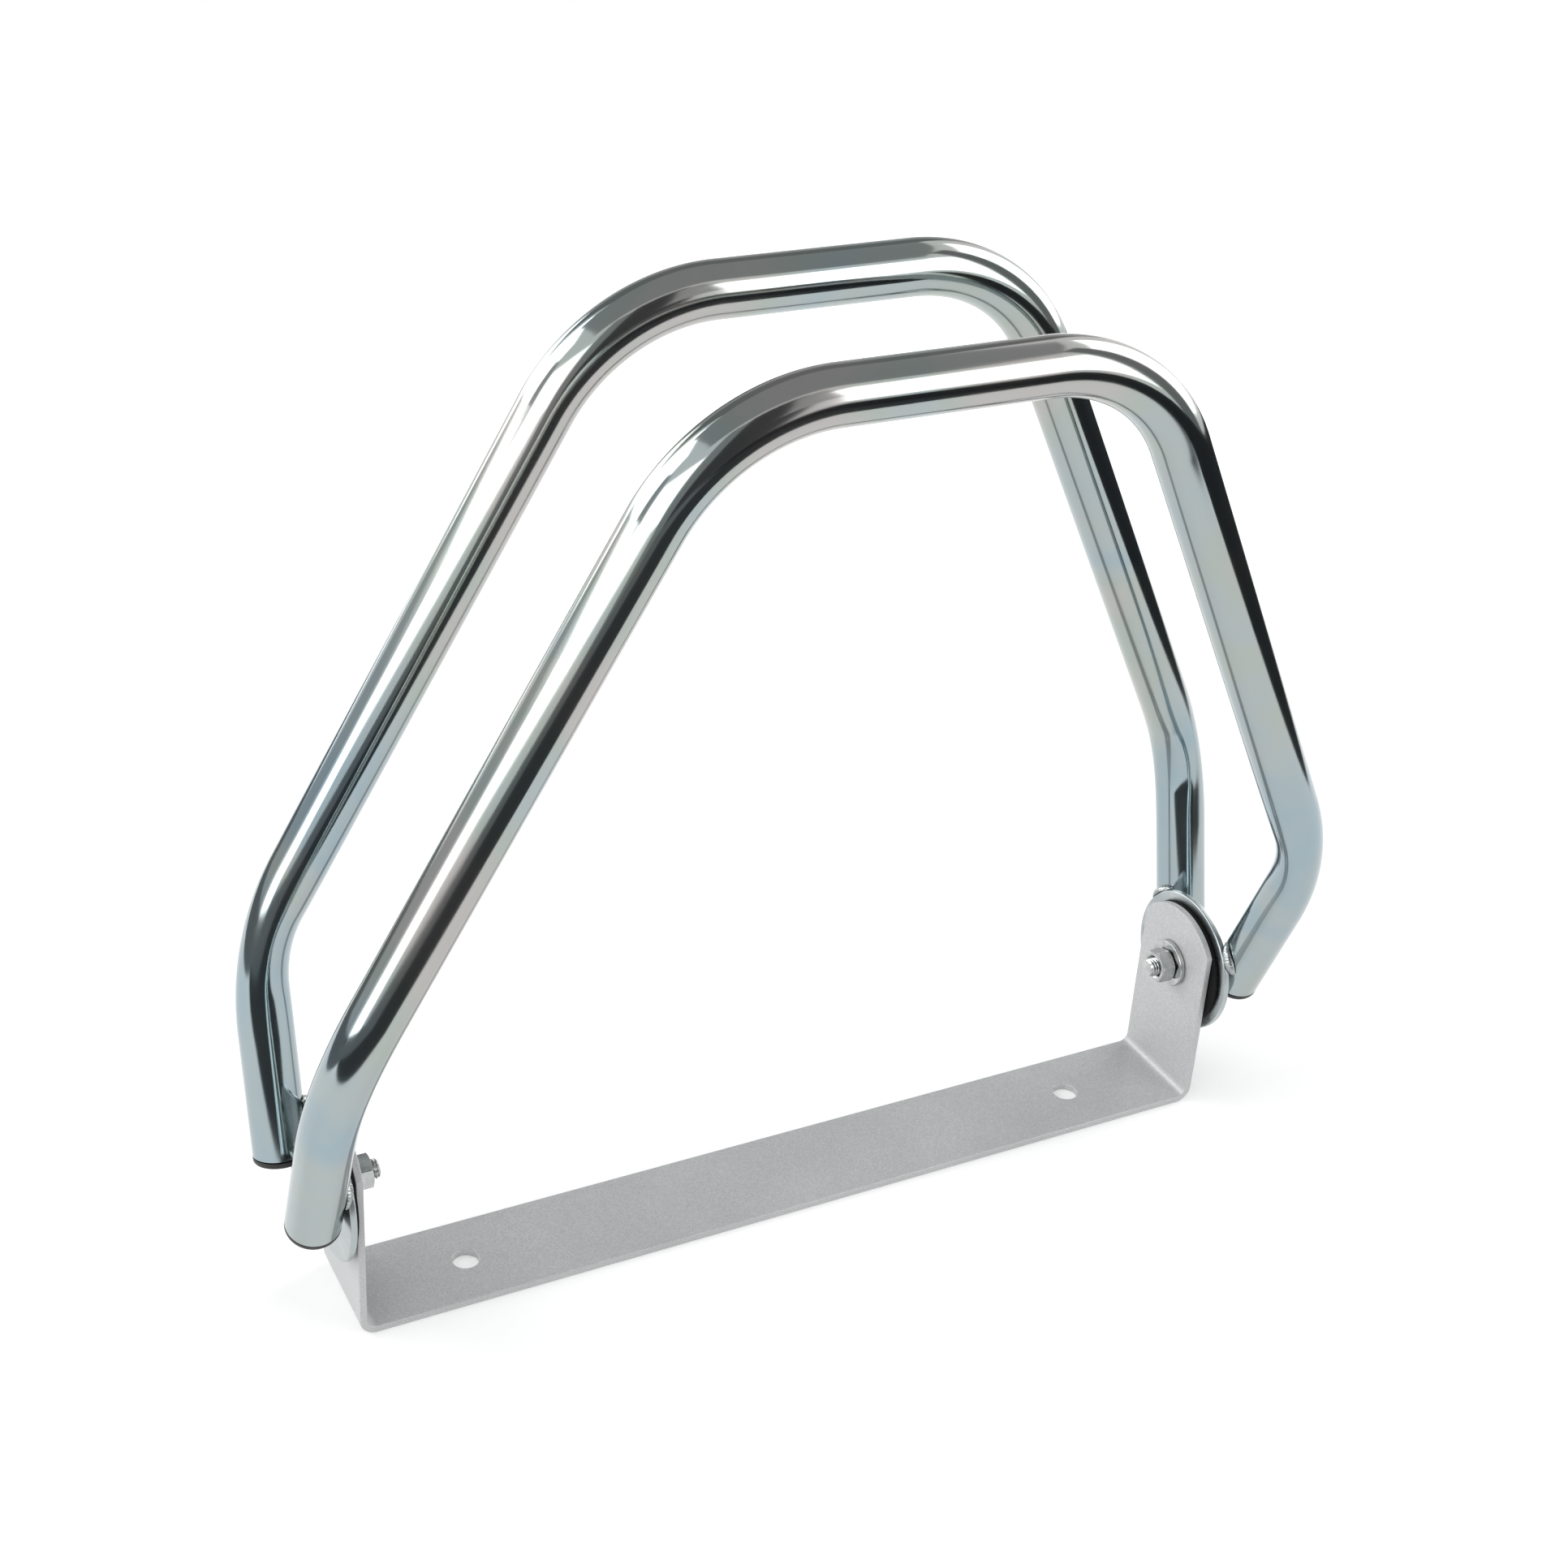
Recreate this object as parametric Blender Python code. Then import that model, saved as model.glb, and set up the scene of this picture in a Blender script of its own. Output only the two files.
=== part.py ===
# Wall holder for the wheel of one bicycle. A flat steel strip is folded up at both ends, and two
# parallel tube hoops swing together on a bolt through each of its ears. The tyre goes between the hoops.
#
# The strip's underside lies on Z = 0 and goes against the wall, with its middle at the origin.
# X runs along the strip and along the bolts, Z points away from the wall, and -Y is the front.
import math

import bmesh
import bpy
from mathutils import Matrix, Vector

CLEARANCE = 0.0003          # between pieces that touch

# Bracket: one strip whose ends are rounded about the bolts.
STRIP_WIDTH = 0.034
STRIP_THICKNESS = 0.0022
BRACKET_LENGTH = 0.290      # over the outer faces of the ears
FOLD_RADIUS = 0.003         # inside the folds
EDGE_BREAK = 0.0003         # on all edges of the strip
SCREW_SPACING = 0.213
SCREW_HOLE = 0.008
PIVOT_HEIGHT = 0.045        # wall face to bolt axis
EAR_RISE = 0.0203           # radius of an ear's round top about the bolt axis

# Pivots, from the ear outwards: friction disc, round plate, bolt head. Washer and nut sit inside the ear.
DISC_DIAMETER = 0.0424
DISC_THICKNESS = 0.0011
PLATE_DIAMETER = 0.0465
PLATE_THICKNESS = 0.002
PLATE_EDGE = 0.0005
BOLT_DIAMETER = 0.006
BOLT_LENGTH = 0.016         # below the head
BOLT_TIP = 0.0006
HEX_WIDTH = 0.010           # across the flats of head and nut
HEAD_HEIGHT = 0.004
HEX_FACE = 0.96             # diameter of their flat end faces, as a share of that width
NUT_HEIGHT = 0.005
NUT_TURN = 20.0             # degrees
WASHER_DIAMETER = 0.0155
WASHER_THICKNESS = 0.0016

# Hoops, on the tube's axis and measured from the bolt axis.
TUBE_DIAMETER = 0.016
TUBE_WALL = 0.0012
HOOP_SPACING = 0.0684       # between the two hoops
CROWN_WIDTH = 0.1225        # between the corners of the straight top bar
CROWN_HEIGHT = 0.2424
CROWN_BEND = 0.053
KNEE_HEIGHT = 0.0619        # corner between a short leg and a long side
KNEE_BEND = 0.090
FOOT_HEIGHT = 0.0012        # cut end of a leg
HEAD_ROOM = 0.0015          # between a bolt head's corners and the legs beside it
HOOP_LEAN = 3.9             # degrees from upright towards the front, as left standing

# Plugs in the legs' ends.
PLUG_FLANGE = 0.0018
PLUG_ROUNDING = 0.0009
PLUG_DEPTH = 0.009
PLUG_RIB = 0.0006
RIB_PLACES = (0.0022, 0.0054)    # up the spigot
RIB_LENGTH = 0.0018
RIB_EDGE = 0.0002           # its steep side

# Welds between leg and plate.
FACE_WELD_LEG = 0.0058      # reach across the plate's face, from the line where the leg touches
RIM_WELD_LEG = 0.0020
RIM_WELD_REACH = 0.0055     # along the plate's rim, from its middle to either end
WELD_MARGIN = 0.0010        # unwelded at each end of a bead
WELD_END = 0.15             # size of a bead at its ends, as a share of the full one
WELD_TOE = 0.45             # how far a bead's toe runs out past its crest, as a share of its height
WELD_BULGE = 0.2            # rise of a bead's face over a flat one, as a share of its width

# Fineness of round forms.
BEND_STEP = 6.5             # degrees for each piece of a bend in the tube
FOLD_STEP = 15.0
EAR_STEP = 7.5
ROUNDING_STEP = 30.0        # at a plug's edge
DISC_SIDES = 56
WASHER_SIDES = 32
HEX_SIDES = 24
PLUG_SIDES = 20
WELD_PIECES = 8

# What follows from the sizes above.
EAR_FACE = BRACKET_LENGTH / 2
EAR_INNER_FACE = EAR_FACE - STRIP_THICKNESS
DISC_SEAT = EAR_FACE + CLEARANCE
PLATE_SEAT = DISC_SEAT + DISC_THICKNESS + CLEARANCE
PLATE_FACE = PLATE_SEAT + PLATE_THICKNESS
LEG_OFFSET = PLATE_FACE + CLEARANCE + TUBE_DIAMETER / 2
HEX_CORNERS = HEX_WIDTH / math.cos(math.radians(30))
FOOT_SPACING = HEX_CORNERS + 2 * HEAD_ROOM + TUBE_DIAMETER
BORE = BOLT_DIAMETER + 2 * CLEARANCE
SIDES = {"left": -1, "right": 1}
HOOPS = {"front": -1, "rear": 1}


def material(name, colour, metallic, roughness):
    made = bpy.data.materials.new(name)
    made.use_nodes = True
    shader = made.node_tree.nodes["Principled BSDF"]
    shader.inputs["Base Color"].default_value = (*colour, 1.0)
    shader.inputs["Metallic"].default_value = metallic
    shader.inputs["Roughness"].default_value = roughness
    made.diffuse_color = (*colour, 1.0)
    return made


def add_object(name, shape, finish, parent=None):
    mesh = bpy.data.meshes.new(name)
    bmesh.ops.recalc_face_normals(shape, faces=shape.faces)
    shape.to_mesh(mesh)
    shape.free()
    mesh.materials.append(finish)
    mesh.shade_smooth()
    mesh.set_sharp_from_angle(angle=math.radians(32))
    made = bpy.data.objects.new(name, mesh)
    bpy.context.scene.collection.objects.link(made)
    made.parent = parent
    return made


def turned(profile, sides):
    # A closed profile of (distance along X, radius) is turned about the X axis. Points on the axis
    # end an open profile.
    shape = bmesh.new()
    points = [shape.verts.new((along, 0.0, radius)) for along, radius in profile]
    edges = [shape.edges.new(pair) for pair in zip(points, points[1:])]
    if min(radius for _, radius in profile) > 0:
        edges.append(shape.edges.new((points[-1], points[0])))
    bmesh.ops.spin(shape, geom=points + edges, cent=(0, 0, 0), axis=(1, 0, 0),
                   angle=2 * math.pi, steps=sides, use_merge=False)
    bmesh.ops.remove_doubles(shape, verts=shape.verts, dist=1e-6)
    return shape


def ring_profile(start, thickness, outer, bore, edge):
    stop = start + thickness
    return [(start, bore), (start, outer - edge), (start + edge, outer),
            (stop - edge, outer), (stop, outer - edge), (stop, bore)]


def skin(rings, closed):
    # Rings of as many points each are joined by quads, and an open run gets a face at each end.
    shape = bmesh.new()
    rows = [[shape.verts.new(point) for point in ring] for ring in rings]
    count = len(rows[0])
    pairs = list(zip(rows, rows[1:]))
    if closed:
        pairs.append((rows[-1], rows[0]))
    for here, there in pairs:
        for k in range(count):
            after = (k + 1) % count
            shape.faces.new((here[k], here[after], there[after], there[k]))
    if not closed:
        shape.faces.new(rows[0])
        shape.faces.new(rows[-1])
    return shape


def cut(target, tool):
    tool.hide_render = True
    tool.display_type = "WIRE"
    modifier = target.modifiers.new(tool.name, "BOOLEAN")
    modifier.operation = "DIFFERENCE"
    modifier.solver = "EXACT"
    modifier.object = tool


def folded(along, across, above):
    # Takes a point of the flat strip to its place on the folded one. The length is measured in the
    # middle of the thickness, from the middle of the strip, and above counts from there too.
    side = math.copysign(1.0, along)
    distance = abs(along)
    start = EAR_FACE - STRIP_THICKNESS - FOLD_RADIUS
    middle = FOLD_RADIUS + STRIP_THICKNESS / 2
    arc = middle * math.pi / 2
    if distance <= start:
        x = distance
        z = STRIP_THICKNESS / 2 + above
    elif distance < start + arc:
        angle = (distance - start) / middle
        x = start + (middle - above) * math.sin(angle)
        z = FOLD_RADIUS + STRIP_THICKNESS - (middle - above) * math.cos(angle)
    else:
        x = start + middle - above
        z = FOLD_RADIUS + STRIP_THICKNESS + distance - start - arc
    return Vector((side * x, across, z))


def strip_stations():
    # Half the strip's outline, from the middle to the round end, as (length, half width, outward
    # direction of the edge there). The straight sides meet the round end in a blunt corner.
    start = EAR_FACE - STRIP_THICKNESS - FOLD_RADIUS
    arc = (FOLD_RADIUS + STRIP_THICKNESS / 2) * math.pi / 2
    centre = start + arc + PIVOT_HEIGHT - FOLD_RADIUS - STRIP_THICKNESS
    half = STRIP_WIDTH / 2
    steps = round(90 / FOLD_STEP)
    stations = [(start + arc * k / steps, half, (0.0, 1.0)) for k in range(steps + 1)]
    corner = math.asin(min(half / EAR_RISE, 1.0))
    blunt = (corner + math.radians(90)) / 2
    stations.append((centre + EAR_RISE * math.cos(corner), half, (math.cos(blunt), math.sin(blunt))))
    steps = round(math.degrees(corner) / EAR_STEP)
    for k in range(1, steps):
        angle = corner * (1 - k / steps)
        out = (math.cos(angle), math.sin(angle))
        stations.append((centre + EAR_RISE * out[0], EAR_RISE * out[1], out))
    return stations


def strip_ring(length, half_width, out, sign):
    half = STRIP_THICKNESS / 2
    inset_length = length - EDGE_BREAK * out[0]
    inset_width = half_width - EDGE_BREAK * out[1]
    flat = [(inset_length, -inset_width, -half), (length, -half_width, EDGE_BREAK - half),
            (length, -half_width, half - EDGE_BREAK), (inset_length, -inset_width, half),
            (inset_length, inset_width, half), (length, half_width, half - EDGE_BREAK),
            (length, half_width, EDGE_BREAK - half), (inset_length, inset_width, -half)]
    return [folded(sign * along, across, above) for along, across, above in flat]


def make_bracket(finish):
    stations = strip_stations()
    rings = [strip_ring(*station, -1) for station in reversed(stations)]
    rings += [strip_ring(*station, 1) for station in stations]
    shape = skin(rings, closed=True)
    doomed = [face for face in shape.faces if spans_gap(face)]
    bmesh.ops.delete(shape, geom=doomed, context="FACES_ONLY")
    shape.verts.ensure_lookup_table()
    count = len(rings[0])
    for first in (0, len(rings) * count - count):
        ring = [shape.verts[first + k] for k in range(count)]
        shape.faces.new((ring[0], ring[1], ring[6], ring[7]))
        shape.faces.new((ring[1], ring[2], ring[5], ring[6]))
        shape.faces.new((ring[2], ring[3], ring[4], ring[5]))
    bracket = add_object("bracket", shape, finish)
    for side, sign in SIDES.items():
        tool = hole_tool("screw_hole_" + side, SCREW_HOLE, finish)
        tool.location = (sign * SCREW_SPACING / 2, 0, STRIP_THICKNESS / 2)
        tool.rotation_euler = (0, math.radians(90), 0)
        cut(bracket, tool)
        tool = hole_tool("bolt_hole_" + side, BORE, finish)
        tool.location = (sign * (EAR_FACE - STRIP_THICKNESS / 2), 0, PIVOT_HEIGHT)
        cut(bracket, tool)
    return bracket


def spans_gap(face):
    # The closing faces of the ring of rings would run from ear to ear.
    along = [vert.co.x for vert in face.verts]
    high = min(vert.co.z for vert in face.verts) > PIVOT_HEIGHT
    return high and max(along) - min(along) > BRACKET_LENGTH / 2


def hole_tool(name, diameter, finish):
    # Widens past both faces of the strip, so that the hole's rims are broken like its edges.
    half = STRIP_THICKNESS / 2
    radius = diameter / 2
    wide = radius + EDGE_BREAK + half
    profile = [(-2 * half, 0), (-2 * half, wide), (EDGE_BREAK - half, radius),
               (half - EDGE_BREAK, radius), (2 * half, wide), (2 * half, 0)]
    return add_object(name, turned(profile, HEX_SIDES), finish)


def bent_path(corners, radii):
    # Straight runs from corner to corner, with an arc of the given radius in each.
    points = [corners[0]]
    for before, corner, after, radius in zip(corners, corners[1:], corners[2:], radii):
        arrive = (corner - before).normalized()
        leave = (after - corner).normalized()
        angle = arrive.angle(leave)
        start = corner - arrive * radius * math.tan(angle / 2)
        inward = (leave - arrive * arrive.dot(leave)).normalized()
        centre = start + inward * radius
        steps = math.ceil(math.degrees(angle) / BEND_STEP)
        for k in range(steps + 1):
            turn = angle * k / steps
            points.append(centre + radius * (arrive * math.sin(turn) - inward * math.cos(turn)))
    points.append(corners[-1])
    return points


def leg_line(side, hoop):
    # The axis of a leg, as its cut end and its direction up to the knee.
    foot = Vector((SIDES[side] * LEG_OFFSET, HOOPS[hoop] * FOOT_SPACING / 2, FOOT_HEIGHT))
    knee = Vector((SIDES[side] * LEG_OFFSET, HOOPS[hoop] * HOOP_SPACING / 2, KNEE_HEIGHT))
    return foot, knee, (knee - foot).normalized()


def make_hoop(hoop, finish, swing):
    depth = HOOPS[hoop] * HOOP_SPACING / 2
    left_foot, left_knee, _ = leg_line("left", hoop)
    right_foot, right_knee, _ = leg_line("right", hoop)
    corners = [left_foot, left_knee, Vector((-CROWN_WIDTH / 2, depth, CROWN_HEIGHT)),
               Vector((CROWN_WIDTH / 2, depth, CROWN_HEIGHT)), right_knee, right_foot]
    points = bent_path(corners, [KNEE_BEND, CROWN_BEND, CROWN_BEND, KNEE_BEND])
    curve = bpy.data.curves.new(hoop + "_hoop", "CURVE")
    curve.dimensions = "3D"
    curve.bevel_depth = TUBE_DIAMETER / 2
    curve.bevel_resolution = 8
    curve.use_fill_caps = False
    spline = curve.splines.new("POLY")
    spline.points.add(len(points) - 1)
    for place, point in zip(spline.points, points):
        place.co = (*point, 1.0)
    spline.use_smooth = True
    curve.materials.append(finish)
    tube = bpy.data.objects.new(hoop + "_hoop", curve)
    bpy.context.scene.collection.objects.link(tube)
    tube.parent = swing
    wall = tube.modifiers.new("wall", "SOLIDIFY")
    wall.thickness = TUBE_WALL
    wall.offset = -1.0
    return tube


def make_plug(side, hoop, finish, swing):
    # Runs down its own X axis: a rounded flange under the tube's end and a ribbed spigot inside.
    foot, _, up = leg_line(side, hoop)
    outer = TUBE_DIAMETER / 2
    core = outer - TUBE_WALL - CLEARANCE - PLUG_RIB
    rib = core + PLUG_RIB
    flat = outer - PLUG_ROUNDING
    bottom = -CLEARANCE - PLUG_FLANGE
    profile = [(bottom, 0), (bottom, flat)]
    for k in range(1, round(90 / ROUNDING_STEP) + 1):
        angle = math.radians(ROUNDING_STEP) * k
        along = bottom + PLUG_ROUNDING * (1 - math.cos(angle))
        profile.append((along, flat + PLUG_ROUNDING * math.sin(angle)))
    profile += [(-CLEARANCE, outer), (-CLEARANCE, core)]
    for place in RIB_PLACES:
        profile += [(place, core), (place + RIB_EDGE, rib), (place + RIB_LENGTH, core)]
    profile += [(PLUG_DEPTH, core - PLUG_RIB), (PLUG_DEPTH, 0)]
    plug = add_object("_".join((hoop, side, "plug")), turned(profile, PLUG_SIDES), finish, swing)
    plug.location = foot
    plug.rotation_euler = up.to_track_quat("X", "Z").to_euler()
    return plug


def hex_radius(angle):
    within = (math.degrees(angle) + 30) % 60 - 30
    return HEX_WIDTH / 2 / math.cos(math.radians(within))


def hex_ring(height, fall):
    # One ring round a hexagon. Its corners drop by the fall, as a turned chamfer cuts them.
    flat = HEX_WIDTH / 2 * HEX_FACE
    points = []
    for k in range(HEX_SIDES):
        angle = 2 * math.pi * k / HEX_SIDES
        radius = hex_radius(angle)
        along = height - fall * (radius - flat) * math.tan(math.radians(30))
        points.append((along, radius * math.sin(angle), radius * math.cos(angle)))
    return points


def round_ring(along, radius):
    angles = [2 * math.pi * k / HEX_SIDES for k in range(HEX_SIDES)]
    return [(along, radius * math.sin(angle), radius * math.cos(angle)) for angle in angles]


def make_bolt(side, finish):
    # Its own X axis runs from the seat of the head outwards, the shank lies at minus X.
    flat = HEX_WIDTH / 2 * HEX_FACE
    radius = BOLT_DIAMETER / 2
    rings = [round_ring(HEAD_HEIGHT, flat), hex_ring(HEAD_HEIGHT, 1), hex_ring(0, 0),
             round_ring(0, radius), round_ring(BOLT_TIP - BOLT_LENGTH, radius),
             round_ring(-BOLT_LENGTH, radius - BOLT_TIP)]
    bolt = add_object(side + "_pivot_bolt", skin(rings, closed=False), finish)
    bolt.location = (SIDES[side] * (PLATE_FACE + CLEARANCE), 0, PIVOT_HEIGHT)
    bolt.rotation_euler = (0, 0, 0 if side == "right" else math.radians(180))
    return bolt


def make_nut(side, finish):
    flat = HEX_WIDTH / 2 * HEX_FACE
    rings = [round_ring(0, BORE / 2), round_ring(0, flat), hex_ring(0, -1), hex_ring(NUT_HEIGHT, 1),
             round_ring(NUT_HEIGHT, flat), round_ring(NUT_HEIGHT, BORE / 2 + BOLT_TIP),
             round_ring(NUT_HEIGHT - BOLT_TIP, BORE / 2)]
    nut = add_object(side + "_lock_nut", skin(rings, closed=True), finish)
    seat = EAR_INNER_FACE - 2 * CLEARANCE - WASHER_THICKNESS
    nut.location = (SIDES[side] * seat, 0, PIVOT_HEIGHT)
    nut.rotation_euler = (math.radians(NUT_TURN), 0, math.radians(180) if side == "right" else 0)
    return nut


def make_ring_piece(name, side, seat, thickness, diameter, edge, sides, finish, parent=None):
    profile = ring_profile(0, thickness, diameter / 2, BORE / 2, edge)
    made = add_object(name, turned(profile, sides), finish, parent)
    made.location = (SIDES[side] * seat, 0, 0 if parent else PIVOT_HEIGHT)
    made.rotation_euler = (0, 0, 0 if side == "right" else math.radians(180))
    return made


def tube_height(offset):
    # How far the leg's surface, with its clearance, stands off the plate's face at a sideways offset.
    reach = TUBE_DIAMETER / 2 + CLEARANCE
    return reach - math.sqrt(reach ** 2 - offset ** 2)


def bead_face(toe, crest):
    # The convex outside of a bead, from its toe on the plate to its crest on the leg.
    out = Vector((crest[1] - toe[1], toe[0] - crest[0]))
    points = []
    for k in range(1, 4):
        share = k / 4
        swell = 4 * WELD_BULGE * share * (1 - share)
        points.append((toe[0] + (crest[0] - toe[0]) * share + out[0] * swell,
                       toe[1] + (crest[1] - toe[1]) * share + out[1] * swell))
    return points


def taper(share):
    # Size of a bead along its length, as a share of the full one.
    swell = math.sin(math.pi * min(max(share, 0.0), 1.0)) ** 0.5
    return WELD_END + (1 - WELD_END) * swell


def make_face_weld(side, hoop, finish, swing):
    # Lies in the groove between the leg and the plate's face, on the side of the bolt head.
    foot, _, up = leg_line(side, hoop)
    inward = Vector((0, -HOOPS[hoop] * up.z, HOOPS[hoop] * up.y))
    outwards = Vector((SIDES[side], 0, 0))
    root = math.sqrt((TUBE_DIAMETER / 2 + CLEARANCE) ** 2 - (TUBE_DIAMETER / 2) ** 2) + CLEARANCE
    start = foot + up * WELD_MARGIN
    length = rim_distance(start + inward * FACE_WELD_LEG, up) - WELD_MARGIN
    rings = []
    for k in range(WELD_PIECES + 1):
        share = k / WELD_PIECES
        crest = root + (FACE_WELD_LEG - root) * taper(share)
        top = tube_height(crest)
        toe = crest + WELD_TOE * (top - CLEARANCE)
        half = (root + crest) / 2
        section = [(root, CLEARANCE), (toe, CLEARANCE)]
        section += bead_face((toe, CLEARANCE), (crest, top))
        section += [(crest, top), (half, tube_height(half)), (root, tube_height(root))]
        centre = start + up * length * share
        centre.x = SIDES[side] * PLATE_FACE
        rings.append([centre + inward * across + outwards * height for across, height in section])
    return add_object("_".join((hoop, side, "face_weld")), skin(rings, closed=False), finish, swing)


def rim_distance(start, direction):
    # Way from a point on the plate along a direction to the plate's rim, less its broken edge.
    flat = Vector((start.y, start.z))
    way = Vector((direction.y, direction.z))
    reach = PLATE_DIAMETER / 2 - PLATE_EDGE
    along = flat.dot(way)
    return -along + math.sqrt(along ** 2 - flat.length_squared + reach ** 2)


def make_rim_weld(side, hoop, finish, swing):
    # Lies in the corner below the leg where it leaves the plate, along the plate's rim.
    foot, _, up = leg_line(side, hoop)
    across = Vector((0, -up.z, up.y))
    inner = PLATE_DIAMETER / 2 + CLEARANCE
    start = foot.copy()
    start.x = 0
    way = Vector((0, up.y, up.z))
    along = start.dot(way)
    crossing = start + way * (math.sqrt(along ** 2 - start.length_squared + inner ** 2) - along)
    middle = math.atan2(crossing.z, crossing.y)
    spread = RIM_WELD_REACH / inner
    rings = []
    for k in range(WELD_PIECES + 1):
        share = k / WELD_PIECES
        angle = middle + spread * (2 * share - 1)
        leg = RIM_WELD_LEG * taper(share)
        direction = Vector((0, math.cos(angle), math.sin(angle)))

        def under_tube(radius):
            return tube_height((direction * radius - start).dot(across))

        outer = inner + leg
        section = [(inner, under_tube(inner)), (inner, under_tube(inner) - leg)]
        section += bead_face(section[1], (outer, under_tube(outer)))
        section += [(outer, under_tube(outer)), (inner + leg / 2, under_tube(inner + leg / 2))]
        rings.append([direction * radius + Vector((SIDES[side] * (PLATE_FACE + height), 0, 0))
                      for radius, height in section])
    return add_object("_".join((hoop, side, "rim_weld")), skin(rings, closed=False), finish, swing)


def build():
    for thing in list(bpy.data.objects):
        bpy.data.objects.remove(thing, do_unlink=True)

    paint = material("silver_grey_paint", (0.42, 0.42, 0.43), 0.0, 0.5)
    zinc = material("bright_zinc_tube", (0.62, 0.66, 0.67), 1.0, 0.18)
    plate_zinc = material("bright_zinc_plate", (0.58, 0.60, 0.61), 1.0, 0.3)
    bolt_zinc = material("bright_zinc_bolt", (0.66, 0.67, 0.68), 1.0, 0.25)
    weld_metal = material("plated_weld", (0.55, 0.58, 0.58), 1.0, 0.35)
    rubber = material("black_friction_disc", (0.015, 0.015, 0.016), 0.0, 0.7)
    plastic = material("black_plug", (0.02, 0.02, 0.021), 0.0, 0.45)

    make_bracket(paint)
    swing = bpy.data.objects.new("swing", None)
    swing.location = (0, 0, PIVOT_HEIGHT)
    swing.rotation_euler = (math.radians(HOOP_LEAN), 0, 0)
    bpy.context.scene.collection.objects.link(swing)

    for side in SIDES:
        make_ring_piece(side + "_friction_disc", side, DISC_SEAT, DISC_THICKNESS, DISC_DIAMETER,
                        CLEARANCE, DISC_SIDES, rubber)
        make_ring_piece(side + "_pivot_plate", side, PLATE_SEAT, PLATE_THICKNESS, PLATE_DIAMETER,
                        PLATE_EDGE, DISC_SIDES, plate_zinc, swing)
        make_ring_piece(side + "_washer", side, EAR_INNER_FACE - CLEARANCE - WASHER_THICKNESS,
                        WASHER_THICKNESS, WASHER_DIAMETER, CLEARANCE, WASHER_SIDES, bolt_zinc)
        make_bolt(side, bolt_zinc)
        make_nut(side, bolt_zinc)
    for hoop in HOOPS:
        make_hoop(hoop, zinc, swing)
        for side in SIDES:
            make_plug(side, hoop, plastic, swing)
            make_face_weld(side, hoop, weld_metal, swing)
            make_rim_weld(side, hoop, weld_metal, swing)


build()
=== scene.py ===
import math

import bpy
import numpy as np
from mathutils import Matrix, Vector


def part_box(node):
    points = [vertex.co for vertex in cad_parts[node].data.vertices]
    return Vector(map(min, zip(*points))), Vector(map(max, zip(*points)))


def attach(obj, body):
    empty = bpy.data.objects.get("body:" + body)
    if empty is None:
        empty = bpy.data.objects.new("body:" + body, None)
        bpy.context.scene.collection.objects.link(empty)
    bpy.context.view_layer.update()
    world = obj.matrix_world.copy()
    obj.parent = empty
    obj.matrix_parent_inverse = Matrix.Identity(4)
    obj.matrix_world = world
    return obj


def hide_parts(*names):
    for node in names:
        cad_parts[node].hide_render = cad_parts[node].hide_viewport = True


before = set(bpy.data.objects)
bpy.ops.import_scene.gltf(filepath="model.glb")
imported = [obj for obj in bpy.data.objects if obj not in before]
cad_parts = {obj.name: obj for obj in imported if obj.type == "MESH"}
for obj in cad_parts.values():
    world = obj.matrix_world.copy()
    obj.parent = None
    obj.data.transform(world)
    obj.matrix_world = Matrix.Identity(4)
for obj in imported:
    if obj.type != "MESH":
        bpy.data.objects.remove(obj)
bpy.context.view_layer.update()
print("frame loaded,", len(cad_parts), "nodes")


# Nodes and colours

def linearColour(code):
    # An sRGB hex value as linear red, green, blue and alpha, by the sRGB curve: a straight start,
    # then a power of 2.4.
    values = np.array([int(code[k:k + 2], 16) / 255 for k in (1, 3, 5)])
    values = np.where(values <= 0.04045, values / 12.92, ((values + 0.055) / 1.055) ** 2.4)
    return (*values.tolist(), 1.0)


def addNode(tree, kind, inputs=None, stops=None, **settings):
    # One node with its settings, its inputs by socket name or number, and a ramp's stops. An input
    # is a value, a socket to link to, or a node, which stands for its first output.
    node = tree.nodes.new(kind)
    for name, value in settings.items():
        setattr(node, name, value)
    for key, value in (inputs or {}).items():
        if isinstance(value, bpy.types.Node):
            value = value.outputs[0]
        if isinstance(value, bpy.types.NodeSocket):
            tree.links.new(value, node.inputs[key])
        else:
            node.inputs[key].default_value = value
    if stops:
        elements = node.color_ramp.elements
        while len(elements) < len(stops):
            elements.new(0.5)
        for element, (place, code) in zip(elements, stops):
            element.position = place
            element.color = linearColour(code)
    return node


def newMaterial(name):
    # A material with an empty node tree.
    made = bpy.data.materials.new(name)
    made.use_nodes = True
    made.node_tree.nodes.clear()
    return made, made.node_tree


def closeMaterial(tree, inputs):
    # The surface shader with its inputs, joined to the output.
    shader = addNode(tree, "ShaderNodeBsdfPrincipled", inputs)
    addNode(tree, "ShaderNodeOutputMaterial", {"Surface": shader})


# Shapes

def addObject(name, data):
    # A new object in the scene, at the origin.
    made = bpy.data.objects.new(name, data)
    bpy.context.scene.collection.objects.link(made)
    return made


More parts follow.
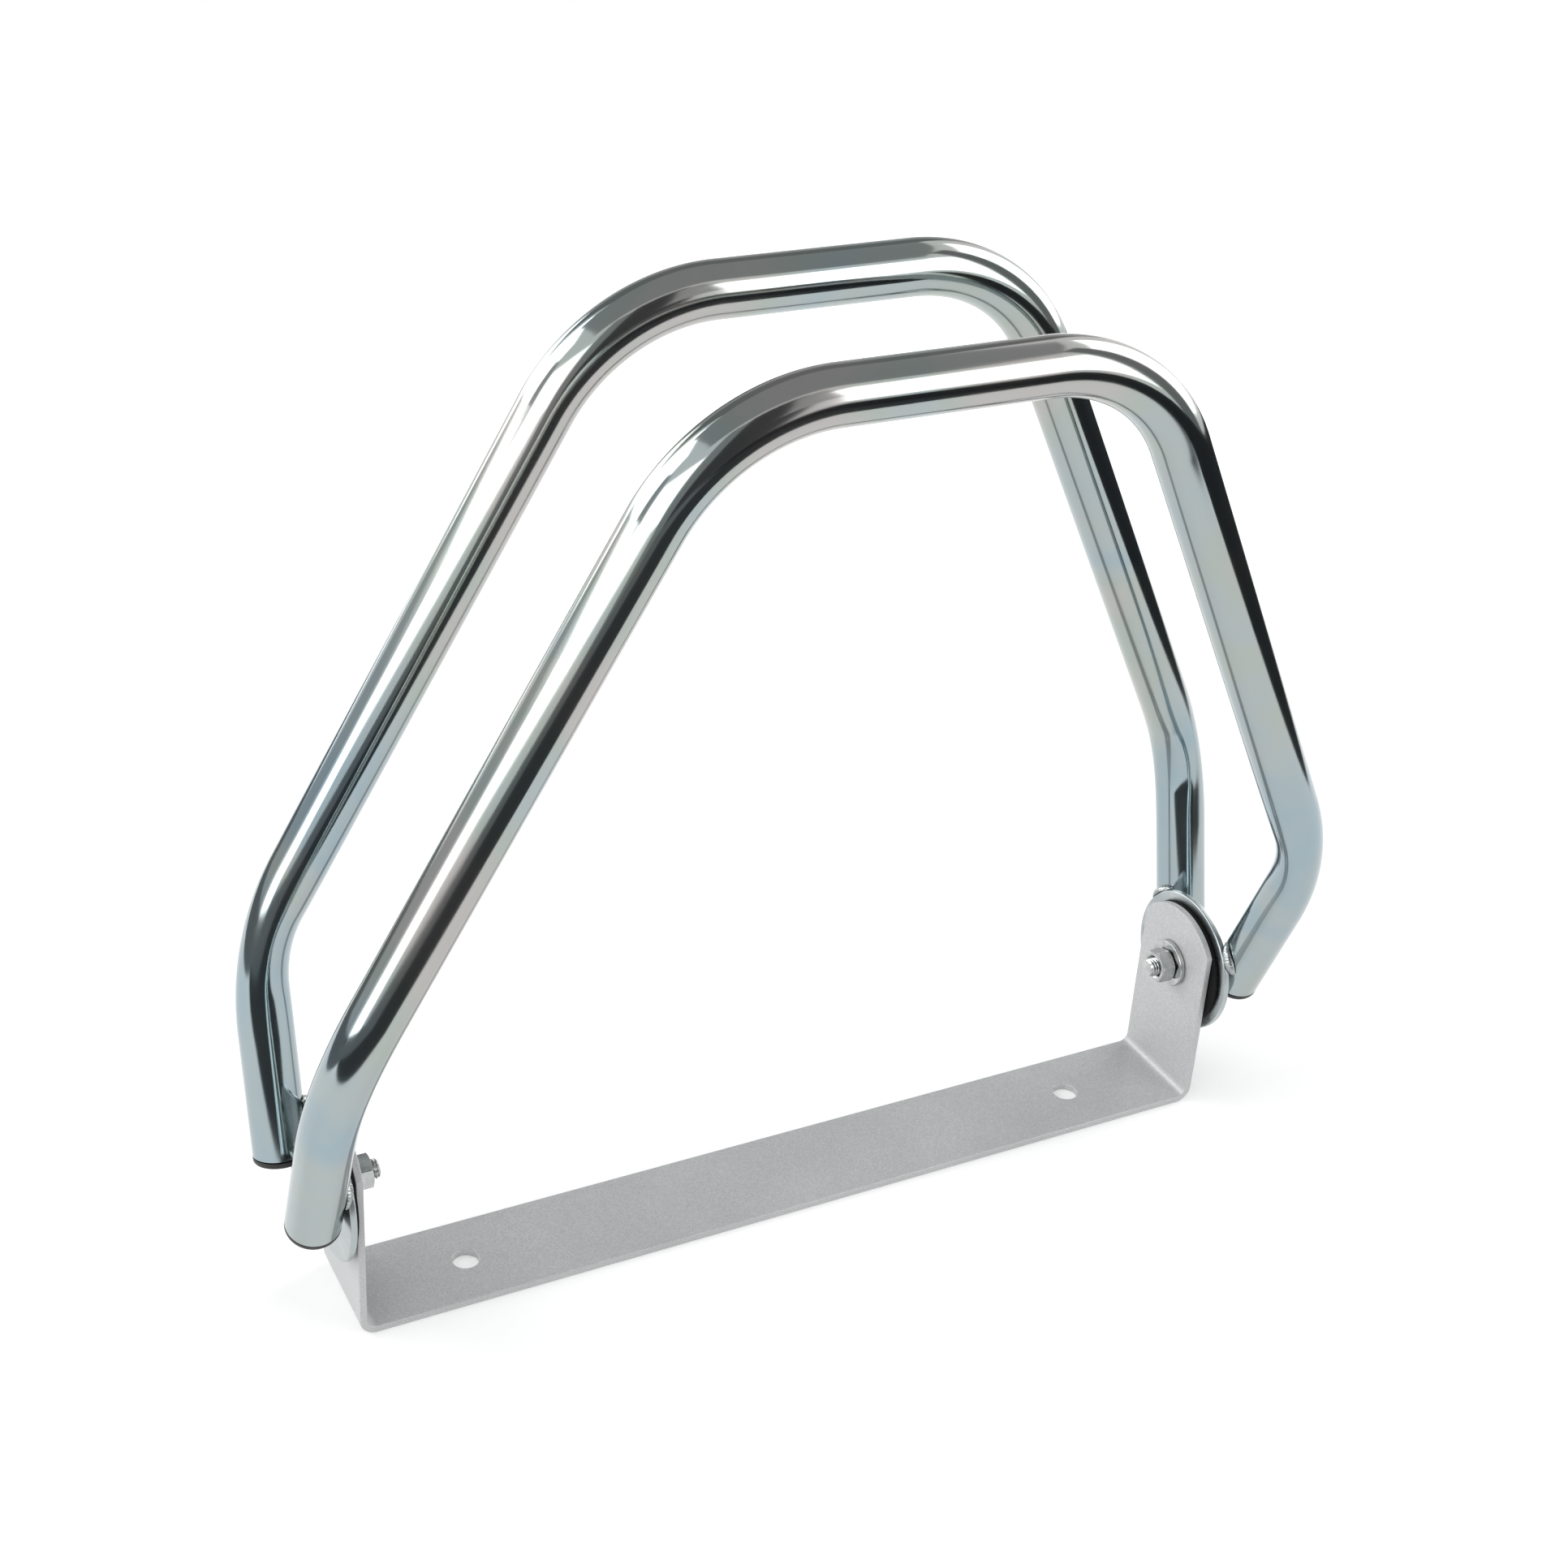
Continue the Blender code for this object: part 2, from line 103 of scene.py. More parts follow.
def meshFromGrid(name, grid, material, joinAlong=False, space=None):
    # A grid of rows x columns x 3 becomes quads. Columns always close round. Rows close too with
    # joinAlong, and otherwise the first and the last row each get one face. The triple products of
    # all triangles add up to six times the volume, and where that is negative the faces are turned
    # round, so that they point outwards. Space is a second grid, of coordinates for a material.
    rows, columns = grid.shape[:2]
    last = rows if joinAlong else rows - 1
    i, j = np.meshgrid(np.arange(last), np.arange(columns), indexing="ij")
    here, after, beside = i * columns, (i + 1) % rows * columns, (j + 1) % columns
    quads = np.stack([here + j, here + beside, after + beside, after + j], -1).reshape(-1, 4)
    points = grid.reshape(-1, 3)
    corners = points[quads]
    volume = (np.cross(corners[:, 0], corners[:, 1]) * corners[:, 2]).sum()
    volume += (np.cross(corners[:, 0], corners[:, 2]) * corners[:, 3]).sum()
    faces = quads.tolist()
    if not joinAlong:
        ends = np.array([np.arange(columns)[::-1], np.arange(columns) + (rows - 1) * columns])
        for end in ends:
            fan = points[np.stack([np.full(columns - 2, end[0]), end[1:-1], end[2:]], -1)]
            volume += (np.cross(fan[:, 0], fan[:, 1]) * fan[:, 2]).sum()
        faces += ends.tolist()
    if volume < 0:
        faces = [face[::-1] for face in faces]
    mesh = bpy.data.meshes.new(name)
    mesh.from_pydata(points.tolist(), [], faces)
    mesh.materials.append(material)
    if space is not None:
        attribute = mesh.attributes.new("surfaceSpace", "FLOAT_VECTOR", "POINT")
        attribute.data.foreach_set("vector", space.reshape(-1).astype(np.float32))
    return mesh


def addPiece(node, mesh, body, sharpAngle=38.0):
    # Stands for a node of the model. Edges sharper than the angle stay sharp, and flat faces keep
    # flat shading next to rounded edges.
    mesh.shade_smooth()
    mesh.set_sharp_from_angle(angle=math.radians(sharpAngle))
    piece = addObject(node + "_look", mesh)
    weighted = piece.modifiers.new("flatFaces", "WEIGHTED_NORMAL")
    weighted.keep_sharp = True
    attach(piece, body)
    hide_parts(node)


def unit(vectors):
    # Vectors over their own lengths.
    return vectors / np.linalg.norm(vectors, axis=-1, keepdims=True)


def placed(grid, matrix):
    # The grid's points, turned and moved by a matrix.
    array = np.array(matrix)
    return grid @ array[:3, :3].T + array[:3, 3]


def roundedProfile(corners, radii, steps=5):
    # A polygon in two coordinates with an arc in each corner whose radius isn't zero. The arc
    # starts and ends where a circle of that radius touches both sides, and each point between is
    # the mean of the two ends' directions, weighted by the sines of the angles to them.
    corners = np.array(corners, float)
    share = np.linspace(0, 1, steps + 1)[:, None]
    points = []
    for k, radius in enumerate(radii):
        here = corners[k]
        if radius == 0:
            points.append(here[None])
            continue
        before = unit(corners[k - 1] - here)
        after = unit(corners[(k + 1) % len(corners)] - here)
        half = math.acos(np.clip(before @ after, -1, 1)) / 2
        centre = here + unit(before + after) * radius / math.sin(half)
        start = here + before * radius / math.tan(half) - centre
        stop = here + after * radius / math.tan(half) - centre
        sweep = math.pi - 2 * half
        arc = np.sin((1 - share) * sweep) * start + np.sin(share * sweep) * stop
        points.append(centre + arc / math.sin(sweep))
    return np.concatenate(points)


def turnedGrid(profile, sides):
    # A profile of (along X, radius) turned about the X axis.
    angles = np.linspace(0, 2 * math.pi, sides, endpoint=False)
    along = np.repeat(profile[:, :1], sides, 1)
    return np.stack([along, profile[:, 1:] * np.sin(angles), profile[:, 1:] * np.cos(angles)], -1)


def sideMatrix(sign, x, height, turn=0.0):
    # Puts a piece that was made along +X at its seat. On the left it is turned half round.
    matrix = Matrix.Translation((sign * x, 0, height))
    if sign < 0:
        matrix = matrix @ Matrix.Rotation(math.pi, 4, "Z")
    return matrix @ Matrix.Rotation(turn, 4, "X")


# Materials. A size is that of one grain, line or patch of a pattern.

def silverPaint():
    # Silver-grey powder coat on steel strip, baked: satin, with a fine grain of flakes and a
    # slight orange peel. Real flakes are near 0.05 mm and are drawn at 0.5 mm, so that they show.
    finish = {"flakeSize": 0.0005, "peelSize": 0.0022, "patchSize": 1 / 28, "light": "#C8C9CA",
              "dark": "#B2B3B4", "patchDark": 0.95, "patchLight": 1.03, "smooth": 0.34,
              "rough": 0.52, "metallic": 0.25, "peelDepth": 0.0001, "grainDepth": 0.00006}
    made, tree = newMaterial("silver_powder_coat")
    place = addNode(tree, "ShaderNodeTexCoord").outputs["Object"]
    flakes = addNode(tree, "ShaderNodeTexNoise", {
        "Vector": place, "Scale": 1 / finish["flakeSize"], "Detail": 2.0, "Roughness": 0.6})
    patches = addNode(tree, "ShaderNodeTexNoise", {
        "Vector": place, "Scale": 1 / finish["patchSize"], "Detail": 3.0})
    peel = addNode(tree, "ShaderNodeTexNoise", {
        "Vector": place, "Scale": 1 / finish["peelSize"], "Detail": 1.0})
    tone = addNode(tree, "ShaderNodeValToRGB", {"Fac": flakes},
                   stops=[(0.32, finish["dark"]), (0.68, finish["light"])])
    shade = addNode(tree, "ShaderNodeMapRange", {
        "Value": patches, "From Min": 0.3, "From Max": 0.7,
        "To Min": finish["patchDark"], "To Max": finish["patchLight"]})
    colour = addNode(tree, "ShaderNodeVectorMath", {
        0: tone, "Scale": shade}, operation="SCALE")
    rough = addNode(tree, "ShaderNodeMapRange", {
        "Value": flakes, "To Min": finish["smooth"], "To Max": finish["rough"]})
    bumpPeel = addNode(tree, "ShaderNodeBump", {
        "Height": peel, "Strength": 0.25, "Distance": finish["peelDepth"]})
    bumpGrain = addNode(tree, "ShaderNodeBump", {
        "Height": flakes, "Strength": 0.35, "Distance": finish["grainDepth"],
        "Normal": bumpPeel})
    closeMaterial(tree, {
        "Base Color": colour, "Metallic": finish["metallic"],
        "Roughness": rough, "Normal": bumpGrain})
    return made


def tubeZinc():
    # Bright zinc plate with blue passivation on drawn and bent steel tube: sharp reflections with
    # a cold tint, fine draw lines along the tube and a slightly uneven film. The film's tint
    # shifts with height, from bluest at the cut ends to warmest at the crown.
    finish = {"lineSize": 0.0004, "waveSize": 1 / 260, "filmSize": 0.055, "drawn": 0.02,
              "blue": "#9AABB2", "light": "#A6AFB0", "green": "#A7AFAA", "warm": "#B2B0AE",
              "endShift": -0.07, "crownShift": 0.13, "crownHeight": 0.3,
              "smooth": 0.07, "rough": 0.16, "waveDepth": 0.00012, "lineDepth": 0.00003}
    made, tree = newMaterial("blue_passivated_zinc_tube")
    place = addNode(tree, "ShaderNodeTexCoord").outputs["Object"]
    along = addNode(tree, "ShaderNodeAttribute", attribute_name="surfaceSpace").outputs["Vector"]
    drawn = addNode(tree, "ShaderNodeMapping", {"Vector": along, "Scale": (1, 1, finish["drawn"])})
    lines = addNode(tree, "ShaderNodeTexNoise", {
        "Vector": drawn, "Scale": 1 / finish["lineSize"], "Detail": 2.0})
    waves = addNode(tree, "ShaderNodeTexNoise", {
        "Vector": drawn, "Scale": 1 / finish["waveSize"], "Detail": 1.0})
    film = addNode(tree, "ShaderNodeTexNoise", {
        "Vector": place, "Scale": 1 / finish["filmSize"], "Detail": 3.0, "Distortion": 0.6})
    height = addNode(tree, "ShaderNodeSeparateXYZ", {"Vector": place})
    shift = addNode(tree, "ShaderNodeMapRange", {
        "Value": height.outputs["Z"], "From Max": finish["crownHeight"],
        "To Min": finish["endShift"], "To Max": finish["crownShift"]})
    shifted = addNode(tree, "ShaderNodeMath", {
        0: film, 1: shift}, operation="ADD")
    tint = addNode(tree, "ShaderNodeValToRGB", {"Fac": shifted},
                   stops=[(0.34, finish["blue"]), (0.47, finish["light"]),
                          (0.56, finish["green"]), (0.68, finish["warm"])])
    rough = addNode(tree, "ShaderNodeMapRange", {
        "Value": film, "From Min": 0.25, "From Max": 0.75,
        "To Min": finish["smooth"], "To Max": finish["rough"]})
    bumpWaves = addNode(tree, "ShaderNodeBump", {
        "Height": waves, "Strength": 0.35, "Distance": finish["waveDepth"]})
    bumpLines = addNode(tree, "ShaderNodeBump", {
        "Height": lines, "Strength": 0.12, "Distance": finish["lineDepth"],
        "Normal": bumpWaves})
    closeMaterial(tree, {
        "Base Color": tint, "Metallic": 1.0,
        "Roughness": rough, "Normal": bumpLines})
    return made


def sheetZinc():
    # Bright zinc plate on discs stamped from rolled sheet: duller than the tube, with faint
    # rolling lines one way, 0.3 mm apart.
    finish = {"lineSize": 1 / 3300, "rolled": 0.04, "filmSize": 1 / 60, "dark": "#A7AEB0",
              "light": "#BCC2C2", "smooth": 0.22, "rough": 0.38, "lineDepth": 0.00004}
    made, tree = newMaterial("zinc_plated_stamped_sheet")
    place = addNode(tree, "ShaderNodeTexCoord").outputs["Object"]
    rolled = addNode(tree, "ShaderNodeMapping", {
        "Vector": place, "Scale": (1, finish["rolled"], 1)})
    lines = addNode(tree, "ShaderNodeTexNoise", {
        "Vector": rolled, "Scale": 1 / finish["lineSize"], "Detail": 2.0})
    film = addNode(tree, "ShaderNodeTexNoise", {
        "Vector": place, "Scale": 1 / finish["filmSize"], "Detail": 3.0})
    tint = addNode(tree, "ShaderNodeValToRGB", {"Fac": film},
                   stops=[(0.35, finish["dark"]), (0.65, finish["light"])])
    rough = addNode(tree, "ShaderNodeMapRange", {
        "Value": lines, "To Min": finish["smooth"], "To Max": finish["rough"]})
    bump = addNode(tree, "ShaderNodeBump", {
        "Height": lines, "Strength": 0.2, "Distance": finish["lineDepth"]})
    closeMaterial(tree, {
        "Base Color": tint, "Metallic": 1.0,
        "Roughness": rough, "Normal": bump})
    return made


def screwZinc():
    # Bright zinc on rolled and headed screws: bright, with tiny dents from the tumbling barrel.
    finish = {"dentSize": 1 / 1300, "filmSize": 1 / 240, "dark": "#AAAEAF", "light": "#C8CAC8",
              "smooth": 0.12, "rough": 0.3, "dentDepth": 0.00005}
    made, tree = newMaterial("zinc_plated_screw_steel")
    place = addNode(tree, "ShaderNodeTexCoord").outputs["Object"]
    dents = addNode(tree, "ShaderNodeTexVoronoi", {
        "Vector": place, "Scale": 1 / finish["dentSize"], "Randomness": 1.0})
    film = addNode(tree, "ShaderNodeTexNoise", {
        "Vector": place, "Scale": 1 / finish["filmSize"], "Detail": 3.0})
    tint = addNode(tree, "ShaderNodeValToRGB", {"Fac": film},
                   stops=[(0.35, finish["dark"]), (0.65, finish["light"])])
    rough = addNode(tree, "ShaderNodeMapRange", {
        "Value": film, "To Min": finish["smooth"], "To Max": finish["rough"]})
    bump = addNode(tree, "ShaderNodeBump", {
        "Height": dents, "Strength": 0.18, "Distance": finish["dentDepth"]})
    closeMaterial(tree, {
        "Base Color": tint, "Metallic": 1.0,
        "Roughness": rough, "Normal": bump})
    return made


def weldZinc():
    # Zinc over a gas-shielded weld: brighter and duller in spots of about 1 mm.
    finish = {"spotSize": 1 / 900, "dark": "#8C9292", "light": "#B9BEBD", "smooth": 0.16,
              "rough": 0.42, "spotDepth": 0.0001}
    made, tree = newMaterial("zinc_plated_weld")
    place = addNode(tree, "ShaderNodeTexCoord").outputs["Object"]
    spots = addNode(tree, "ShaderNodeTexNoise", {
        "Vector": place, "Scale": 1 / finish["spotSize"], "Detail": 3.0})
    tint = addNode(tree, "ShaderNodeValToRGB", {"Fac": spots},
                   stops=[(0.3, finish["dark"]), (0.7, finish["light"])])
    rough = addNode(tree, "ShaderNodeMapRange", {
        "Value": spots, "To Min": finish["smooth"], "To Max": finish["rough"]})
    bump = addNode(tree, "ShaderNodeBump", {
        "Height": spots, "Strength": 0.3, "Distance": finish["spotDepth"]})
    closeMaterial(tree, {
        "Base Color": tint, "Metallic": 1.0,
        "Roughness": rough, "Normal": bump})
    return made


def blackNylon():
    # Black nylon, punched from sheet for the friction discs: matt, with fine scuffs.
    finish = {"scuffSize": 1 / 700, "dark": "#060606", "light": "#101010", "roughness": 0.7,
              "ior": 1.53, "specular": 0.2, "scuffDepth": 0.00008}
    made, tree = newMaterial("black_nylon_sheet")
    place = addNode(tree, "ShaderNodeTexCoord").outputs["Object"]
    scuffs = addNode(tree, "ShaderNodeTexNoise", {
        "Vector": place, "Scale": 1 / finish["scuffSize"], "Detail": 4.0})
    tint = addNode(tree, "ShaderNodeValToRGB", {"Fac": scuffs},
                   stops=[(0.4, finish["dark"]), (0.75, finish["light"])])
    bump = addNode(tree, "ShaderNodeBump", {
        "Height": scuffs, "Strength": 0.3, "Distance": finish["scuffDepth"]})
    closeMaterial(tree, {
        "Base Color": tint, "Roughness": finish["roughness"],
        "IOR": finish["ior"], "Specular IOR Level": finish["specular"],
        "Normal": bump})
    return made


def blackPolyethylene():
    # Moulded black polyethylene of the tube plugs: waxy and half glossy, with a fine skin from
    # the spark-eroded mould.
    finish = {"skinSize": 1 / 2200, "wearSize": 1 / 300, "dark": "#151516", "light": "#2A2A2B",
              "smooth": 0.3, "rough": 0.5, "ior": 1.51, "skinDepth": 0.00005}
    made, tree = newMaterial("black_moulded_polyethylene")
    place = addNode(tree, "ShaderNodeTexCoord").outputs["Object"]
    skin = addNode(tree, "ShaderNodeTexNoise", {
        "Vector": place, "Scale": 1 / finish["skinSize"], "Detail": 2.0})
    wear = addNode(tree, "ShaderNodeTexNoise", {
        "Vector": place, "Scale": 1 / finish["wearSize"], "Detail": 3.0})
    tint = addNode(tree, "ShaderNodeValToRGB", {"Fac": wear},
                   stops=[(0.4, finish["dark"]), (0.8, finish["light"])])
    rough = addNode(tree, "ShaderNodeMapRange", {
        "Value": wear, "To Min": finish["smooth"], "To Max": finish["rough"]})
    bump = addNode(tree, "ShaderNodeBump", {
        "Height": skin, "Strength": 0.25, "Distance": finish["skinDepth"]})
    closeMaterial(tree, {
        "Base Color": tint, "Roughness": rough,
        "IOR": finish["ior"], "Normal": bump})
    return made


paint = silverPaint()
tubeFinish = tubeZinc()
sheetFinish = sheetZinc()
screwFinish = screwZinc()
weldFinish = weldZinc()
nylon = blackNylon()
polyethylene = blackPolyethylene()
print("materials made")


# Bracket. The ears' outer faces and the bolts' axis are where the model has them.

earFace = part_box("bracket")[1].x
washerLow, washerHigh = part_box("left_washer")
axisHeight = (washerLow.z + washerHigh.z) / 2

strip = {
    "width": 0.034, "thickness": 0.0022, "edge": 0.0003, "edgeSteps": 4,
    "foldRadius": 0.003, "foldSteps": 24,  # on the inside of a fold
    "earRadius": 0.0203, "earSteps": 40, "earStop": 0.99,  # the share of the arc before its top
    "earCorner": 0.0006, "cornerSteps": 6,  # where the arc meets the ear's side
    "screwSpacing": 0.213, "screwHole": 0.008, "boltHole": 0.0066, "holeSides": 96,
    "cutReach": 3, "cutNudge": 1e-6,  # a cutter runs past the faces, its flare ends inside them
}
foldStart = earFace - strip["thickness"] - strip["foldRadius"]
foldMiddle = strip["foldRadius"] + strip["thickness"] / 2


def foldedStrip(along, across, above):
    # Points of the flat strip, taken round the folds: level as far as the fold's start, then along
    # a quarter circle, then upright. Lengths count in the middle of the thickness.
    side, distance = np.sign(along), np.abs(along)
    angle = np.clip((distance - foldStart) / foldMiddle, 0, math.pi / 2)
    x = np.minimum(distance, foldStart) + (foldMiddle - above) * np.sin(angle)
    z = strip["foldRadius"] + strip["thickness"] - (foldMiddle - above) * np.cos(angle)
    z += np.maximum(distance - foldStart - foldMiddle * math.pi / 2, 0)
    return np.stack([side * x, across, z], -1)


def stripOutline():
    # Half the flat outline as (length, half width, outward direction) in three stretches: the
    # straight side over the fold, a small circle's turn that touches the side and the head, and
    # the head's arc about the bolt's axis, short of its top, where one face closes the ear.
    fold = foldMiddle * math.pi / 2
    centre = foldStart + fold + axisHeight - strip["foldRadius"] - strip["thickness"]
    half, tight, reach = strip["width"] / 2, strip["earCorner"], strip["earRadius"]
    corner = math.asin((half - tight) / (reach - tight))
    length = centre + (reach - tight) * math.cos(corner)
    share = np.linspace(0, 1, strip["foldSteps"] + 1)
    turn = np.linspace(math.pi / 2, corner, strip["cornerSteps"] + 1)
    head = corner * (1 - np.linspace(0, strip["earStop"], strip["earSteps"])[1:])
    turnX, turnY, headX, headY = np.cos(turn), np.sin(turn), np.cos(head), np.sin(head)
    stretches = [(foldStart + fold * share, half, 0.0, 1.0),
                 (length + tight * turnX, half - tight + tight * turnY, turnX, turnY),
                 (centre + reach * headX, reach * headY, headX, headY)]
    return np.concatenate([np.stack(np.broadcast_arrays(*part), -1) for part in stretches])


def stripSection():
    # One rounded edge as (inset from the outline, height above the middle), from under to top: a
    # quarter circle, the flat edge and a quarter circle.
    turn = np.linspace(0, math.pi / 2, strip["edgeSteps"] + 1)
    inset = strip["edge"] * (1 - np.sin(turn))
    above = strip["edge"] * (1 - np.cos(turn)) - strip["thickness"] / 2
    return np.concatenate([inset, inset[::-1]]), np.concatenate([above, -above[::-1]])


def holeTool(diameter, matrix):
    # A turned cutter for one hole: a cylinder that flares by a quarter circle to each face of the
    # strip, which leaves the hole's rims rounded, and runs on past both faces.
    half, edge, radius = strip["thickness"] / 2, strip["edge"], diameter / 2
    turn = np.linspace(0, math.pi / 2, strip["edgeSteps"] + 1)
    rim = np.stack([edge * (1 - np.cos(turn)) - half + strip["cutNudge"],
                    radius + edge * (1 - np.sin(turn))], -1)
    rim = np.concatenate([[(-half * strip["cutReach"], radius + edge)], rim])
    profile = np.concatenate([rim, rim[::-1] * (-1, 1)])
    grid = placed(turnedGrid(profile, strip["holeSides"]), matrix)
    return addObject("holeTool", meshFromGrid("holeTool", grid, paint))


def cutAway(mesh, tools):
    # The mesh less its tools, which are then gone.
    base = addObject("cutBase", mesh)
    for tool in tools:
        modifier = base.modifiers.new(tool.name, "BOOLEAN")
        modifier.operation = "DIFFERENCE"
        modifier.solver = "EXACT"
        modifier.object = tool
    bpy.context.view_layer.update()
    depsgraph = bpy.context.evaluated_depsgraph_get()
    result = bpy.data.meshes.new_from_object(base.evaluated_get(depsgraph))
    for thing in [base, *tools]:
        bpy.data.objects.remove(thing, do_unlink=True)
    return result


def makeBracket():
    # The outline and its mirror image give stations from ear to ear. At each one the section runs
    # up one edge and down the other, moved inwards by its inset, and the whole is folded. Then
    # the two screw holes and the two bolt holes are cut.
    outline = stripOutline()
    stations = np.concatenate([outline[::-1] * (-1, 1, -1, 1), outline])
    inset, above = stripSection()
    rows = []
    for side in (-1, 1):
        along = stations[:, :1] - stations[:, 2:3] * inset
        across = side * (stations[:, 1:2] - stations[:, 3:] * inset)
        height = np.broadcast_to(above, across.shape)
        rows.append((along[:, ::side], across[:, ::side], height[:, ::side]))
    flat = [np.concatenate(part, 1) for part in zip(*rows)]
    mesh = meshFromGrid("bracket_look", foldedStrip(*flat), paint)
    tools = []
    for sign in (-1, 1):
        middle = strip["thickness"] / 2
        screwSeat = Matrix.Translation((sign * strip["screwSpacing"] / 2, 0, middle))
        boltSeat = Matrix.Translation((sign * (earFace - middle), 0, axisHeight))
        upright = Matrix.Rotation(math.pi / 2, 4, "Y")
        tools.append(holeTool(strip["screwHole"], screwSeat @ upright))
        tools.append(holeTool(strip["boltHole"], boltSeat))
    addPiece("bracket", cutAway(mesh, tools), "bracket", sharpAngle=30.0)


makeBracket()
print("bracket made")


# Pivots

pivot = {
    "bore": 0.0066, "boreEdge": 0.0001, "sides": 144,
    "plateRadius": 0.02325, "plateEdge": 0.0005,
    "discRadius": 0.0202, "discEdge": 0.00025,
    "washerRadius": 0.00775, "washerEdge": 0.0003,
}
hexagon = {
    "width": 0.010, "columns": 144, "cornerCut": 0.985,
    "face": 0.96,  # the round face's share of the width
    "topRing": 0.6,  # share of the round face inside the last ring of the head
    "headHeight": 0.004, "collar": 0.0003, "nutHeight": 0.005, "nutTurn": 20.0,  # degrees
    "nutSeatCut": 0.0005, "nutTopCut": 0.0006,  # bevels of the nut's bore
}
thread = {
    "radius": 0.003, "depth": 0.00058, "pitch": 0.001, "rowsPerTurn": 14,
    "crest": 0.1,  # half the flat crest, as a share of the pitch
    "threaded": 0.009, "tip": 0.0006, "length": 0.016,
}
faceRadius = hexagon["width"] / 2 * hexagon["face"]
hexAngles = np.linspace(0, 2 * math.pi, hexagon["columns"], endpoint=False)


def addRing(node, outer, edge, finish, body):
    # A flat ring between the node's two ends along X, with rounded outer rims and a bore: four
    # corners turned about the bolts' axis.
    low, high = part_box(node)
    bore = pivot["bore"] / 2
    corners = [(low.x, bore), (low.x, outer), (high.x, outer), (high.x, bore)]
    profile = roundedProfile(corners, (pivot["boreEdge"], edge, edge, pivot["boreEdge"]))
    grid = placed(turnedGrid(profile, pivot["sides"]), Matrix.Translation((0, 0, axisHeight)))
    mesh = meshFromGrid(node + "_look", grid, finish, joinAlong=True)
    addPiece(node, mesh, body)


def hexRadius():
    # From the middle to a hexagon's side: half the width over the cosine of the angle to the
    # nearest side's middle, with the corners cut a little round.
    within = np.mod(hexAngles + math.pi / 6, math.pi / 3) - math.pi / 6
    half = hexagon["width"] / 2
    return np.minimum(half / np.cos(within), half / math.cos(math.pi / 6) * hexagon["cornerCut"])


def hexRows(profile):
    # Rows of (along, radius, fall). A row with no radius follows the hexagon, and a fall of 1 or -1
    # lowers or raises its corners by a 30 degree cone. The other rows are round.
    rows = []
    for along, radius, fall in profile:
        reach = hexRadius() if radius is None else np.full_like(hexAngles, radius)
        place = along - fall * (reach - faceRadius) * math.tan(math.pi / 6)
        rows.append(np.stack([place, reach * np.sin(hexAngles), reach * np.cos(hexAngles)], -1))
    return np.array(rows)


def threadRows(start, stop):
    # A helix of ridges cut into the shank: the groove's depth follows the distance from the ridge,
    # which goes once round in one pitch. It runs out over the last turn towards the head, and a
    # 45 degree cone limits the radius at the tip.
    count = int(round((stop - start) / thread["pitch"] * thread["rowsPerTurn"]))
    along = np.linspace(start, stop, count)[:, None]
    phase = np.mod(along / thread["pitch"] + hexAngles / (2 * math.pi), 1)
    ridge = np.clip((0.5 - np.abs(phase - 0.5)) / (0.5 - thread["crest"]), 0, 1)
    runOut = np.clip((stop - along) / thread["pitch"], 0, 1)
    radius = thread["radius"] - thread["depth"] * (1 - ridge) * runOut
    radius = np.minimum(radius, thread["radius"] - thread["tip"] + (along - start))
    return np.stack([np.broadcast_to(along, radius.shape), radius * np.sin(hexAngles),
                     radius * np.cos(hexAngles)], -1)


def makeBolt(side, sign):
    # Rows from the thread's tip to the head's outer face. The head's seat is at zero.
    low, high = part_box(side + "_pivot_bolt")
    top = hexagon["headHeight"]
    seat = (high.x if sign > 0 else -low.x) - top
    shank = threadRows(-thread["length"], thread["threaded"] - thread["length"])
    head = hexRows([(0, thread["radius"], 0), (0, faceRadius, 0),
                    (hexagon["collar"], faceRadius, 0), (hexagon["collar"], None, 0),
                    (top, None, 1), (top, faceRadius, 0),
                    (top, faceRadius * hexagon["topRing"], 0)])
    grid = placed(np.concatenate([shank, head]), sideMatrix(sign, seat, axisHeight))
    mesh = meshFromGrid(side + "_pivot_bolt_look", grid, screwFinish)
    addPiece(side + "_pivot_bolt", mesh, "bracket", sharpAngle=32.0)


def makeNut(side, sign):
    # Rows round the nut's section: seat, coned corners below and above, top, and back down the
    # bevelled bore.
    low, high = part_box(side + "_lock_nut")
    seat = high.x if sign > 0 else -low.x
    bore, top = pivot["bore"] / 2, hexagon["nutHeight"]
    seatCut, topCut = hexagon["nutSeatCut"], hexagon["nutTopCut"]
    grid = hexRows([(0, bore + seatCut, 0), (0, faceRadius, 0), (0, None, -1),
                    (top, None, 1), (top, faceRadius, 0), (top, bore + topCut, 0),
                    (top - topCut, bore, 0), (seatCut, bore, 0)])
    grid = placed(grid, sideMatrix(-sign, -seat, axisHeight, math.radians(hexagon["nutTurn"])))
    mesh = meshFromGrid(side + "_lock_nut_look", grid, screwFinish, joinAlong=True)
    addPiece(side + "_lock_nut", mesh, "bracket", sharpAngle=32.0)


for side, sign in (("left", -1), ("right", 1)):
    addRing(side + "_friction_disc", pivot["discRadius"], pivot["discEdge"], nylon,
            "bracket")
    addRing(side + "_pivot_plate", pivot["plateRadius"], pivot["plateEdge"], sheetFinish,
            "hoops")
    addRing(side + "_washer", pivot["washerRadius"], pivot["washerEdge"], screwFinish,
            "bracket")
    makeBolt(side, sign)
    makeNut(side, sign)
print("pivots made")


# Hoops. Heights are measured from the bolts' axis before the hoops lean.

